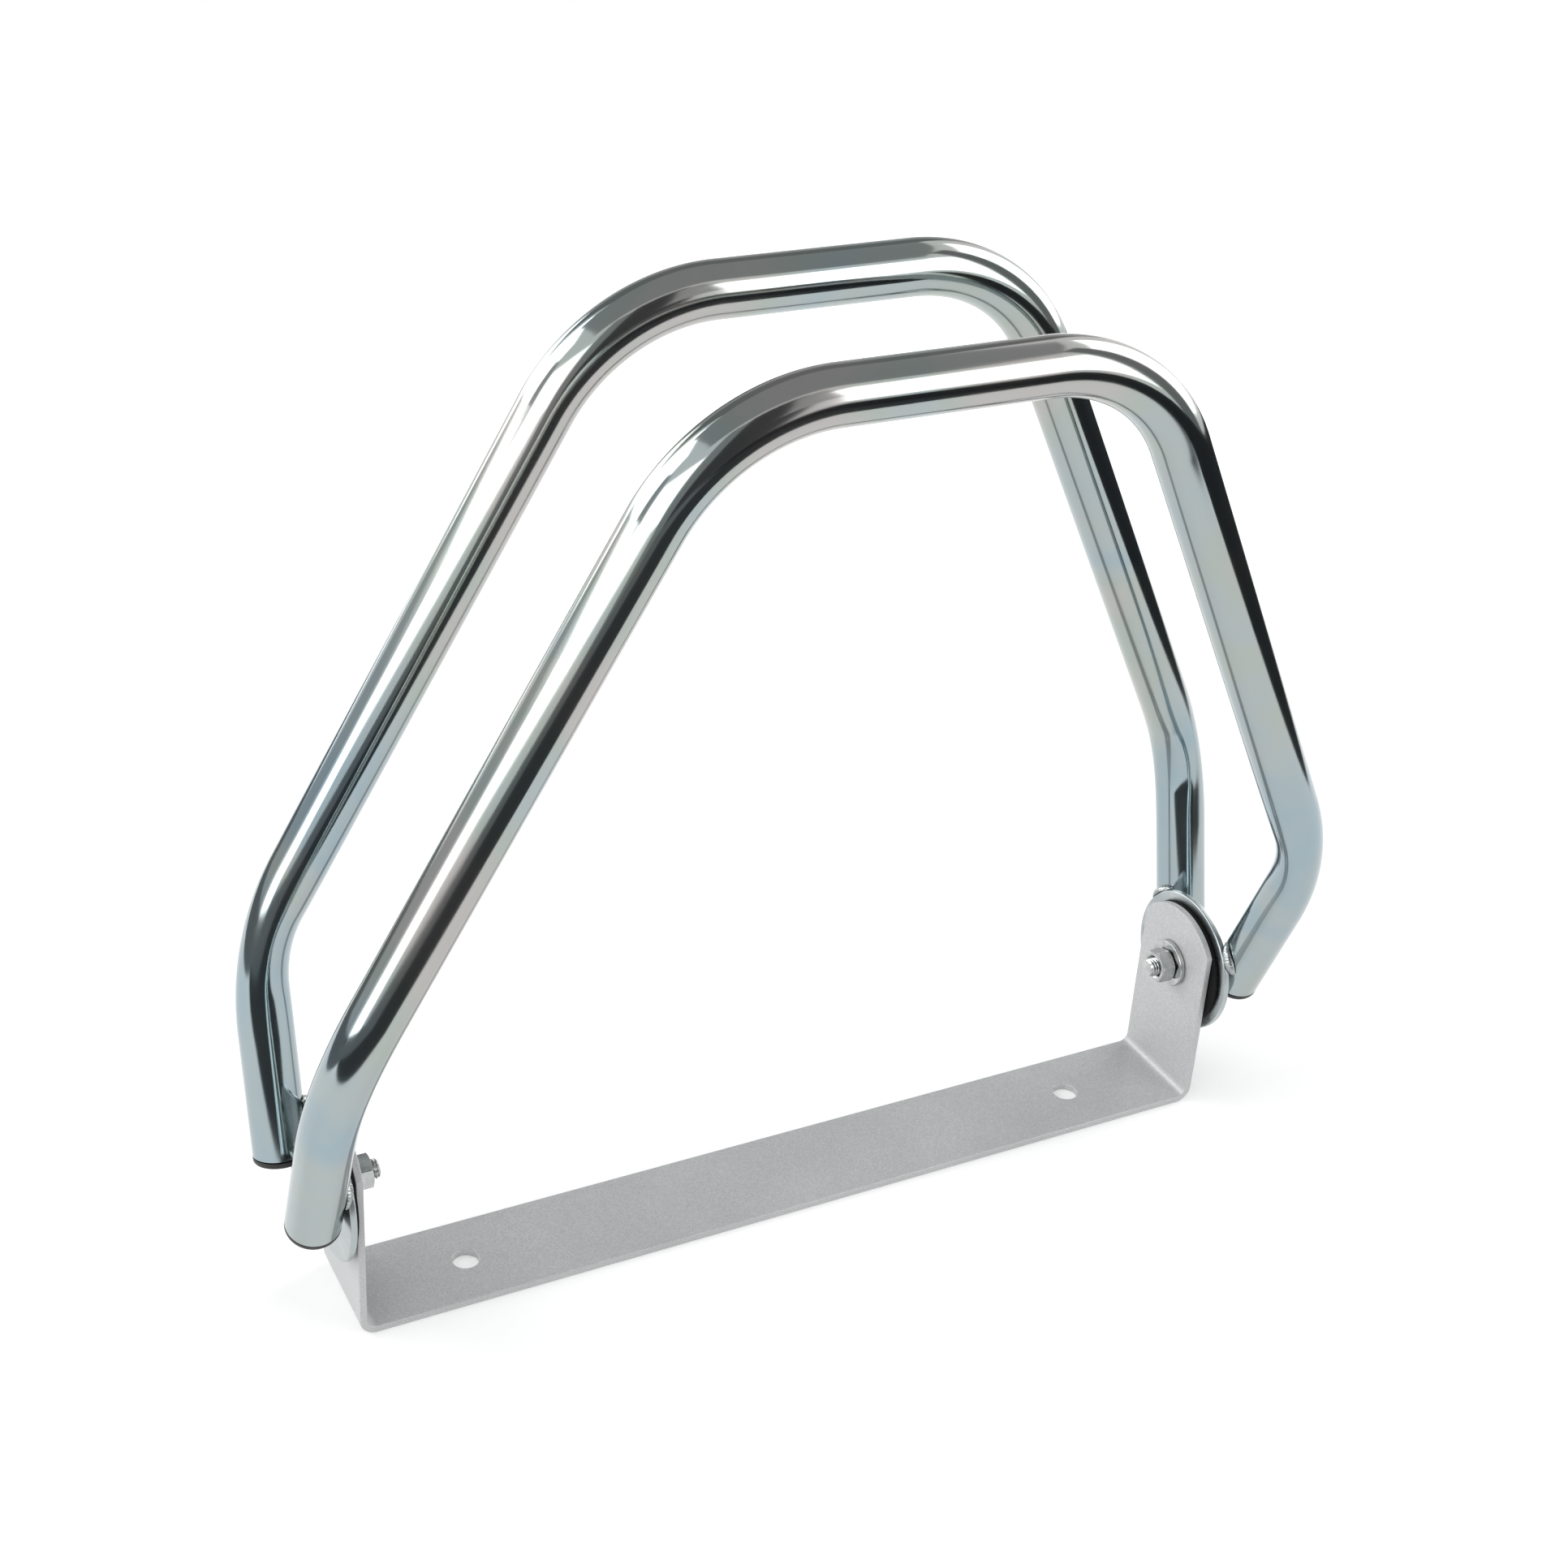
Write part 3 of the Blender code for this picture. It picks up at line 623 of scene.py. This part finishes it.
hoop = {
    "tube": 0.016, "wall": 0.0012, "cutEdge": 0.0002,  # taken off the rims of a cut end
    "spacing": 0.0684, "lean": 3.9,  # degrees
    "crownWidth": 0.1225, "crownHeight": 0.2424, "crownBend": 0.053,
    "legOffset": 0.157, "kneeHeight": 0.0619, "kneeBend": 0.090,
    "kneeInside": 0.045,  # radius of the pressed inside of a knee
    "footHeight": 0.0012, "footSpacing": 0.030547, "bendSteps": 56, "columns": 72,
}
swing = Matrix.Translation((0, 0, axisHeight)) @ Matrix.Rotation(math.radians(hoop["lean"]), 4, "X")


def bendPress(turn, angle, radius, inside):
    # How far the inside of a bend is pressed outwards: the distance between its own arc and a
    # tighter one between the same two tangents, measured from the arc's centre.
    offset = np.minimum(turn, angle - turn)
    reach = (radius - inside) / math.cos(angle / 2)
    side = reach * np.sin(angle / 2 - offset)
    tight = reach * np.cos(angle / 2 - offset) + np.sqrt(np.maximum(inside ** 2 - side ** 2, 0))
    onTangent = np.tan(offset) < (radius - inside) * math.tan(angle / 2) / radius
    return np.where(onTangent, radius / np.cos(offset), tight) - radius


def bentPath(corners, radii, insides):
    # Straight runs between corners, with an arc in each inner one, and for each point the way that
    # the inside of its bend is pressed.
    points, presses = [corners[:1]], [np.zeros((1, 3))]
    bends = zip(corners, corners[1:], corners[2:], radii, insides)
    for before, corner, after, radius, inside in bends:
        arrive, leave = unit(corner - before), unit(after - corner)
        angle = math.acos(arrive @ leave)
        inward = unit(leave - arrive * (arrive @ leave))
        centre = corner - arrive * radius * math.tan(angle / 2) + inward * radius
        turn = np.linspace(0, angle, hoop["bendSteps"] + 1)[:, None]
        outward = arrive * np.sin(turn) - inward * np.cos(turn)
        points.append(centre + radius * outward)
        presses.append(outward * bendPress(turn, angle, radius, inside))
    points.append(corners[-1:])
    presses.append(np.zeros((1, 3)))
    return np.concatenate(points), np.concatenate(presses)


def legLine(sign, depth):
    # A leg's axis: its cut end, its knee and the direction between them.
    x = sign * hoop["legOffset"]
    foot = np.array([x, depth * hoop["footSpacing"] / 2, hoop["footHeight"]])
    knee = np.array([x, depth * hoop["spacing"] / 2, hoop["kneeHeight"]])
    return foot, knee, unit(knee - foot)


def sweptTube(points, radii, angles, presses):
    # Rings round a path, one radius for each point: the cosine times a first direction, which is as
    # near to Y as the path lets it be, plus the sine times a second one. The half that faces the
    # inside of a bend becomes half an ellipse.
    steps = unit(np.diff(points, axis=0))
    tangents = unit(np.concatenate([steps[:1], steps[:-1] + steps[1:], steps[-1:]]))
    first = unit(np.array([0, 1, 0]) - tangents * tangents[:, 1:2])
    second = np.cross(tangents, first)
    cosines, sines = np.cos(angles)[None, :, None], np.sin(angles)[None, :, None]
    ring = cosines * first[:, None] + sines * second[:, None]
    amount = np.maximum(np.linalg.norm(presses, axis=1), 1e-9)[:, None]  # 0 on straight runs
    facing = np.maximum(-(ring @ presses[:, :, None])[..., 0] / amount, 0)
    return points[:, None] + radii[:, None, None] * ring + facing[..., None] * presses[:, None]


def makeHoop(name, depth):
    # Rings of the outer radius along the path and rings of the inner radius back, so that the wall
    # closes at both cut ends, where the first ring is nipped. The second grid unrolls the tube for
    # its material: two coordinates across it and the length along it.
    reach = depth * hoop["spacing"] / 2
    leftFoot, leftKnee, leftUp = legLine(-1, depth)
    rightFoot, rightKnee, rightUp = legLine(1, depth)
    crown = [(sign * hoop["crownWidth"] / 2, reach, hoop["crownHeight"]) for sign in (-1, 1)]
    knee, inside, bend = hoop["kneeBend"], hoop["kneeInside"], hoop["crownBend"]
    path, presses = bentPath(np.array([leftFoot, leftKnee, *crown, rightKnee, rightFoot]),
                             (knee, bend, bend, knee), (inside, bend, bend, inside))
    lip = hoop["cutEdge"]
    path = np.concatenate([path[:1], path[:1] + leftUp * lip, path[1:-1],
                           path[-1:] + rightUp * lip, path[-1:]])
    presses = np.pad(presses, ((1, 1), (0, 0)))
    length = np.concatenate([[0], np.cumsum(np.linalg.norm(np.diff(path, axis=0), axis=1))])
    outer = np.full(len(path), hoop["tube"] / 2)
    inner = outer - hoop["wall"]
    outer[[0, -1]] -= lip
    inner[[0, -1]] += lip
    angles = np.linspace(0, 2 * math.pi, hoop["columns"], endpoint=False)
    grid = np.concatenate([sweptTube(path, outer, angles, presses),
                           sweptTube(path, inner, angles, presses)[::-1]])
    lengths = np.concatenate([length, length[::-1]])[:, None]
    radii = np.concatenate([outer, inner[::-1]])[:, None]
    space = np.stack([radii * np.cos(angles), radii * np.sin(angles),
                      np.broadcast_to(lengths, grid.shape[:2])], -1)
    grid = placed(grid, swing)
    mesh = meshFromGrid(name + "_look", grid, tubeFinish, joinAlong=True, space=space)
    addPiece(name, mesh, "hoops")


makeHoop("front_hoop", -1)
makeHoop("rear_hoop", 1)
print("hoops made")


# Plugs. Places along a plug are measured from the leg's cut end, up the leg.

plug = {
    "gap": 0.0003, "sides": 72,
    "flange": 0.0018, "flangeMiddle": 0.3,  # share of the flange's radius that one face closes
    "rounding": 0.0009, "lip": 0.00015, "arcSteps": 7,  # arcs at its outer and inner rim
    "depth": 0.009, "tipLength": 0.001, "tipDrop": 0.0006,
    "rib": 0.0006, "ribPlaces": (0.0022, 0.0054), "ribLength": 0.0018, "ribEdge": 0.0002,
}


def makePlug(name, sign, depth):
    # Turned about the leg's axis: a rounded flange under the cut end and a ribbed spigot inside.
    outer, gap = hoop["tube"] / 2, plug["gap"]
    rib = outer - hoop["wall"] - gap
    core = rib - plug["rib"]
    bottom = -gap - plug["flange"]
    corners = [(bottom, outer * plug["flangeMiddle"]), (bottom, outer), (-gap, outer), (-gap, core)]
    radii = (0, plug["rounding"], plug["lip"], 0)
    profile = roundedProfile(corners, radii, plug["arcSteps"]).tolist()
    for place in plug["ribPlaces"]:
        profile += [(place, core), (place + plug["ribEdge"], rib),
                    (place + plug["ribLength"], core)]
    profile += [(plug["depth"] - plug["tipLength"], core), (plug["depth"], core - plug["tipDrop"])]
    foot, _, up = legLine(sign, depth)
    turn = Vector(up).to_track_quat("X", "Z").to_matrix().to_4x4()
    grid = turnedGrid(np.array(profile), plug["sides"])
    grid = placed(grid, swing @ (Matrix.Translation(Vector(foot)) @ turn))
    addPiece(name, meshFromGrid(name + "_look", grid, polyethylene), "hoops")


# Welds between a leg and its plate

weld = {
    "faceLeg": 0.0058, "margin": 0.0010,  # the margin from the cut end and the rim
    "rimLeg": 0.0020, "rimReach": 0.0055,  # the reach to each side of the leg's axis
    "end": 0.15, "bulge": 0.2, "toe": 0.45, "ripple": 0.0010, "rippleDepth": 0.045,
    "gap": 0.0003, "rows": 90, "faceColumns": 12,
}
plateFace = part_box("right_pivot_plate")[1].x


def tubeRise(offset):
    # Height of the leg's surface, with the gap, over the plate's face at a sideways offset: the
    # radius less the circle's height there.
    reach = hoop["tube"] / 2 + weld["gap"]
    return reach - np.sqrt(reach ** 2 - offset ** 2)


def beadSize(share, length):
    # Share of the full bead along its length: it swells from the end's share by the root of a half
    # sine, less a ripple for each pulse of the welder.
    swell = np.sqrt(np.sin(math.pi * np.clip(share, 0, 1)))
    ripple = np.abs(np.sin(math.pi * share * length / weld["ripple"]))
    return (weld["end"] + (1 - weld["end"]) * swell) * (1 - weld["rippleDepth"] * (1 - ripple))


def beadFace(toe, crest):
    # The convex outside of a bead between its toe on the plate and its crest on the leg, as
    # columns: the straight line between both, moved outwards by a parabola.
    share = np.linspace(0, 1, weld["faceColumns"])[1:-1]
    swell = 4 * weld["bulge"] * share * (1 - share)
    across = crest[:, None] - toe[:, None]
    out = np.stack([across[..., 1], -across[..., 0]], -1)
    return toe[:, None] + across * share[:, None] + out * swell[:, None]


def rimCrossing(start, way, radius):
    # How far a line runs from its start until it meets a circle about the bolts' axis: the larger
    # root of the quadratic for that radius.
    return math.sqrt((start @ way) ** 2 - start @ start + radius ** 2) - start @ way


def makeFaceWeld(name, sign, depth):
    # Fills the groove between the leg and the plate's face, on the bolt's side, from near the cut
    # end to the plate's rim. Its section lies across the leg, as (inward, off the plate's face).
    foot, _, up = legLine(sign, depth)
    inward = np.array([0, -depth * up[2], depth * up[1]])
    radius, gap = hoop["tube"] / 2, weld["gap"]
    root = math.sqrt((radius + gap) ** 2 - radius ** 2) + gap
    start = foot + up * weld["margin"]
    rim = pivot["plateRadius"] - pivot["plateEdge"]
    corner = (start + inward * weld["faceLeg"])[1:]
    length = rimCrossing(corner, up[1:], rim) - weld["margin"]
    share = np.linspace(0, 1, weld["rows"])
    crest = root + (weld["faceLeg"] - root) * beadSize(share, length)
    top = tubeRise(crest)
    half = (root + crest) / 2
    toePoint = np.stack([crest + weld["toe"] * (top - gap), np.full_like(crest, gap)], -1)
    crestPoint = np.stack([crest, top], -1)
    lower = np.stack([np.full_like(crest, root), np.full_like(crest, gap)], -1)
    upper = np.stack([np.full_like(crest, root), np.full_like(crest, tubeRise(root))], -1)
    middle = np.stack([half, tubeRise(half)], -1)
    section = np.concatenate([lower[:, None], toePoint[:, None], beadFace(toePoint, crestPoint),
                              crestPoint[:, None], middle[:, None], upper[:, None]], 1)
    centre = start + up * length * share[:, None]
    centre[:, 0] = sign * plateFace
    outwards = np.array([sign, 0, 0])
    grid = centre[:, None] + inward * section[..., :1] + outwards * section[..., 1:]
    mesh = meshFromGrid(name + "_look", placed(grid, swing), weldFinish)
    addPiece(name, mesh, "hoops", sharpAngle=50.0)


def makeRimWeld(name, sign, depth):
    # Fills the corner under the leg where it leaves the plate, along the plate's rim. Its section
    # lies across the rim, as (distance from the bolts' axis, off the plate's face).
    foot, _, up = legLine(sign, depth)
    across = np.array([-up[2], up[1]])
    start, way = foot[1:], up[1:]
    inner = pivot["plateRadius"] + weld["gap"]
    crossing = start + way * rimCrossing(start, way, inner)
    share = np.linspace(0, 1, weld["rows"])
    reach = weld["rimReach"] / inner * (2 * share - 1)
    angles = math.atan2(crossing[1], crossing[0]) + reach
    leg = weld["rimLeg"] * beadSize(share, 2 * weld["rimReach"])
    direction = np.stack([np.cos(angles), np.sin(angles)], -1)

    def underTube(radius):
        # Height of the leg's surface over the rim, at a distance from the bolts' axis.
        return tubeRise((direction * np.asarray(radius).reshape(-1, 1) - start) @ across)

    low = np.full_like(leg, inner)
    toePoint = np.stack([low, underTube(low) - leg], -1)
    crestPoint = np.stack([inner + leg, underTube(inner + leg)], -1)
    upper = np.stack([low, underTube(low)], -1)
    middle = np.stack([inner + leg / 2, underTube(inner + leg / 2)], -1)
    section = np.concatenate([upper[:, None], toePoint[:, None], beadFace(toePoint, crestPoint),
                              crestPoint[:, None], middle[:, None]], 1)
    x = sign * (plateFace + section[..., 1:])
    grid = np.concatenate([x, direction[:, None] * section[..., :1]], -1)
    mesh = meshFromGrid(name + "_look", placed(grid, swing), weldFinish)
    addPiece(name, mesh, "hoops", sharpAngle=50.0)


for hoopName, depth in (("front", -1), ("rear", 1)):
    for side, sign in (("left", -1), ("right", 1)):
        foot = "_".join((hoopName, side))
        makePlug(foot + "_plug", sign, depth)
        makeFaceWeld(foot + "_face_weld", sign, depth)
        makeRimWeld(foot + "_rim_weld", sign, depth)
print("plugs and welds made")


# Stage. Bearing 0 lies behind the object and 90 to its right.

studio = {
    "floor": "#F4F4F4", "floorSize": 3.2, "floorRoughness": 0.9,
    "lift": 0.2, "fadeStart": 0.5, "fadeStop": 1.1,  # the seen floor's lift, and where it grows
    "worldLevel": 0.3, "boxRadiance": 2.4,
    "topSize": 1.6, "topHeight": 2.2, "topRadiance": 1.0,
}
softBoxes = {  # bearing, distance, width, lower edge, upper edge
    "leftFrontBox": (-125, 1.8, 1.55, 0.3, 1.45),
    "leftBackBox": (-62, 1.8, 2.0, 0.62, 2.45),
    "leftLowBox": (-97, 1.8, 0.75, 0.0, 0.7),
    "backBox": (-20, 1.85, 0.9, 0.25, 0.95),
    "rightBox": (79, 1.8, 1.25, 0.18, 2.0),
    "rightFrontBox": (139, 1.8, 1.05, 0.24, 1.65),
}
uprightCards = {  # bearing, distance, width, lower edge, upper edge, colour
    "frontCard": (180, 1.6, 0.95, 0.0, 2.2, "#505052"),
    "frontLeftCard": (-157, 1.6, 0.42, 0.0, 2.0, "#A0A2A3"),
    "frontRightCard": (163, 1.6, 0.45, 0.72, 2.0, "#BBBDBE"),
    "backCard": (18, 1.9, 2.0, 1.12, 3.0, "#868889"),
    "backLowCard": (18, 1.9, 2.0, 0.5, 1.12, "#B2B4B5"),
    "backHighCard": (-14, 1.88, 0.76, 1.1, 2.9, "#868889"),
    "rightSeamCard": (109, 1.75, 0.7, 0.0, 2.4, "#858789"),
    "leftSeamCard": (-90, 1.77, 0.5, 0.75, 1.6, "#B4B6B8"),
    "leftLowCard": (-58, 1.79, 1.3, 0.0, 0.5, "#C6C8CA"),
}
lyingCards = {  # bearing, near and far distance, width, height, colour
    "ceilingCard": (0, -1.05, 1.05, 2.1, 1.7, "#A6A8AA"),
    "frontFloorCard": (-158.7, 0.255, 1.75, 3.4, 0.002, "#454749"),
    "frontFarCard": (-158.7, 0.8, 1.7, 3.4, 0.003, "#7E8082"),
    "leftFrontCard": (-115, 0.62, 1.79, 1.2, 0.004, "#7C7E80"),
    "rightFloorCard": (111.3, 0.5, 1.75, 2.6, 0.005, "#303234"),
    "backFloorCard": (-58, 0.5, 1.78, 1.3, 0.002, "#7A7C7E"),
}
view = {  # from a fit of the strip's and the tubes' outlines; angles in degrees, lens in mm
    "place": (-0.30137, -0.52097, 0.48835), "yaw": 26.944, "pitch": -28.264, "roll": 2.743,
    "lens": 55.119, "shift": (0.05297, -0.04580), "sensor": 36.0, "clip": (0.01, 50.0),
}
white = (1.0, 1.0, 1.0, 1.0)


def seenDirectly(tree):
    # 1 for what the camera, mirrors and glass look at, and 0 for what only lights a surface: the
    # greatest of the three rays' marks.
    rays = addNode(tree, "ShaderNodeLightPath").outputs
    seen = addNode(tree, "ShaderNodeMath", {
        0: rays["Is Camera Ray"], 1: rays["Is Glossy Ray"]}, operation="MAXIMUM")
    seen = addNode(tree, "ShaderNodeMath", {
        0: seen, 1: rays["Is Transmission Ray"]}, operation="MAXIMUM")
    return seen


def floorMaterial():
    # Pale matt board. What the camera and mirrors see of it is lifted to white, more so where it
    # ends far from the lamps, and the shadow stays.
    made, tree = newMaterial("pale_studio_floor")
    place = addNode(tree, "ShaderNodeTexCoord").outputs["Object"]
    distance = addNode(tree, "ShaderNodeVectorMath", {0: place}, operation="LENGTH")
    fade = addNode(tree, "ShaderNodeMapRange", {
        "Value": distance.outputs["Value"], "From Min": studio["fadeStart"],
        "From Max": studio["fadeStop"], "To Min": studio["lift"], "To Max": 1.0})
    lift = addNode(tree, "ShaderNodeMath", {
        0: seenDirectly(tree), 1: fade}, operation="MULTIPLY")
    closeMaterial(tree, {
        "Base Color": linearColour(studio["floor"]), "Roughness": studio["floorRoughness"],
        "Emission Color": white, "Emission Strength": lift})
    return made


def flatMesh(name, width, length, material):
    # One rectangle about the origin that faces up.
    x, y = width / 2, length / 2
    mesh = bpy.data.meshes.new(name)
    mesh.from_pydata([(-x, -y, 0), (x, -y, 0), (x, y, 0), (-x, y, 0)], [], [(0, 1, 2, 3)])
    mesh.materials.append(material)
    return mesh


def addFloor():
    # A square floor at the height of the wall face.
    size = studio["floorSize"]
    floor = addObject("studioFloor", flatMesh("studioFloor", size, size, floorMaterial()))


def setWorld():
    # White where the camera and mirrors look, and a plain even light for everything else.
    world = bpy.data.worlds.new("whiteStudio")
    bpy.context.scene.world = world
    world.use_nodes = True
    tree = world.node_tree
    tree.nodes.clear()
    level = addNode(tree, "ShaderNodeMapRange", {
        "Value": seenDirectly(tree), "To Min": studio["worldLevel"], "To Max": 1.0})
    background = addNode(tree, "ShaderNodeBackground", {"Color": white, "Strength": level})
    addNode(tree, "ShaderNodeOutputWorld", {"Surface": background})


def aimed(place, target):
    # A matrix at a place, whose -Z looks at the target.
    turn = (Vector(target) - Vector(place)).to_track_quat("-Z", "Y").to_matrix().to_4x4()
    return Matrix.Translation(place) @ turn


def towards(bearing, distance, height):
    # A place round the object: the sine and cosine of the bearing times the distance.
    angle = math.radians(bearing)
    return Vector((math.sin(angle) * distance, math.cos(angle) * distance, height))


def addBox(name, bearing, distance, width, low, high):
    # An upright soft box that faces the object. Its power is its brightness times pi times its
    # area.
    light = bpy.data.lights.new(name, "AREA")
    light.shape = "RECTANGLE"
    light.size, light.size_y = width, high - low
    light.energy = studio["boxRadiance"] * math.pi * width * (high - low)
    lamp = addObject(name, light)
    middle = (low + high) / 2
    lamp.matrix_world = aimed(towards(bearing, distance, middle), (0, 0, middle))
    lamp.visible_camera = False


def addTopBox():
    # A soft box overhead for everything but mirrors, which see a grey ceiling there.
    light = bpy.data.lights.new("topBox", "AREA")
    light.size = studio["topSize"]
    light.energy = studio["topRadiance"] * math.pi * studio["topSize"] ** 2
    lamp = addObject("topBox", light)
    lamp.location = (0, 0, studio["topHeight"])
    lamp.visible_camera = lamp.visible_glossy = False


def addCard(name, matrix, width, length, code):
    # A card that only mirrors see. It gives the zinc its grey and dark streaks.
    made, tree = newMaterial(name)
    shader = addNode(tree, "ShaderNodeEmission", {"Color": linearColour(code), "Strength": 1.0})
    addNode(tree, "ShaderNodeOutputMaterial", {"Surface": shader})
    card = addObject(name, flatMesh(name, width, length, made))
    card.matrix_world = matrix
    card.visible_camera = card.visible_diffuse = False
    card.visible_shadow = card.visible_transmission = False


def addUprightCard(name, bearing, distance, width, low, high, code):
    # Stands between two heights and faces the object.
    middle = (low + high) / 2
    matrix = aimed(towards(bearing, distance, middle), (0, 0, middle))
    addCard(name, matrix, width, high - low, code)


def addLyingCard(name, bearing, near, far, width, height, code):
    # Lies level, from a near to a far distance.
    turn = Matrix.Rotation(math.radians(-bearing), 4, "Z")
    matrix = Matrix.Translation(towards(bearing, (near + far) / 2, height)) @ turn
    addCard(name, matrix, width, far - near, code)


def addCamera():
    # The photograph's viewpoint. The lens is shifted a little, because its centre lies left of
    # and above the picture's middle. Right, up and back are turned by the roll.
    yaw, pitch, roll = (math.radians(view[key]) for key in ("yaw", "pitch", "roll"))
    forward = Vector((math.sin(yaw) * math.cos(pitch), math.cos(yaw) * math.cos(pitch),
                      math.sin(pitch)))
    right = Vector((math.cos(yaw), -math.sin(yaw), 0))
    up = right.cross(forward)
    turned = Matrix((right * math.cos(roll) + up * math.sin(roll),
                     up * math.cos(roll) - right * math.sin(roll), -forward))
    data = bpy.data.cameras.new("photoView")
    data.sensor_width = view["sensor"]
    data.lens = view["lens"]
    data.shift_x, data.shift_y = view["shift"]
    data.clip_start, data.clip_end = view["clip"]
    camera = addObject("photoView", data)
    camera.matrix_world = Matrix.Translation(view["place"]) @ turned.transposed().to_4x4()
    bpy.context.scene.camera = camera


addFloor()
setWorld()
addTopBox()
for add, group in ((addBox, softBoxes), (addUprightCard, uprightCards),
                   (addLyingCard, lyingCards)):
    for name, values in group.items():
        add(name, *values)
addCamera()
bpy.context.scene.view_settings.view_transform = "Standard"
print("stage set")
